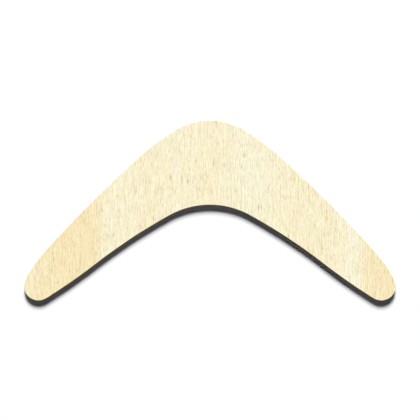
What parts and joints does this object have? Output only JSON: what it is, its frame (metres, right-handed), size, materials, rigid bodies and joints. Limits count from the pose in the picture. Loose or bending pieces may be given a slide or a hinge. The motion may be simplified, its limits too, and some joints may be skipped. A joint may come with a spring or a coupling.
{
  "type": "boomerang",
  "caption": "Flat V-shaped throwing toy cut from cross-laminated beech plywood, with a rounded nose, tapering arms and round tips.",
  "frame": {"origin": "middle of the outline's box in X and Y, on the underside of the board, which is the face it lies on", "axes": "+X from tip to tip along the span, +Y towards the nose of the bend and along the face grain, +Z out of the face veneer, so the board lies flat"},
  "size_m": [0.3, 0.1456, 0.005],
  "materials": {
    "face_beech": "bare sanded beech veneer, pale cream with short brown ray flecks, grain along Y",
    "back_beech": "bare sanded beech veneer of the second side, a little duller, grain along Y",
    "core_beech": "beech veneer seen on its cut edge, grain along Y",
    "crossband_beech": "beech veneer seen on its cut edge, grain along X",
    "resin_glue": "cured brown resin film"
  },
  "bodies": {
    "root": {"face_veneer": "face_beech", "face_glue_line": "resin_glue", "upper_crossband": "crossband_beech", "upper_core_glue_line": "resin_glue", "core_veneer": "core_beech", "lower_core_glue_line": "resin_glue", "lower_crossband": "crossband_beech", "back_glue_line": "resin_glue", "back_veneer": "back_beech"}
  },
  "joints": []
}
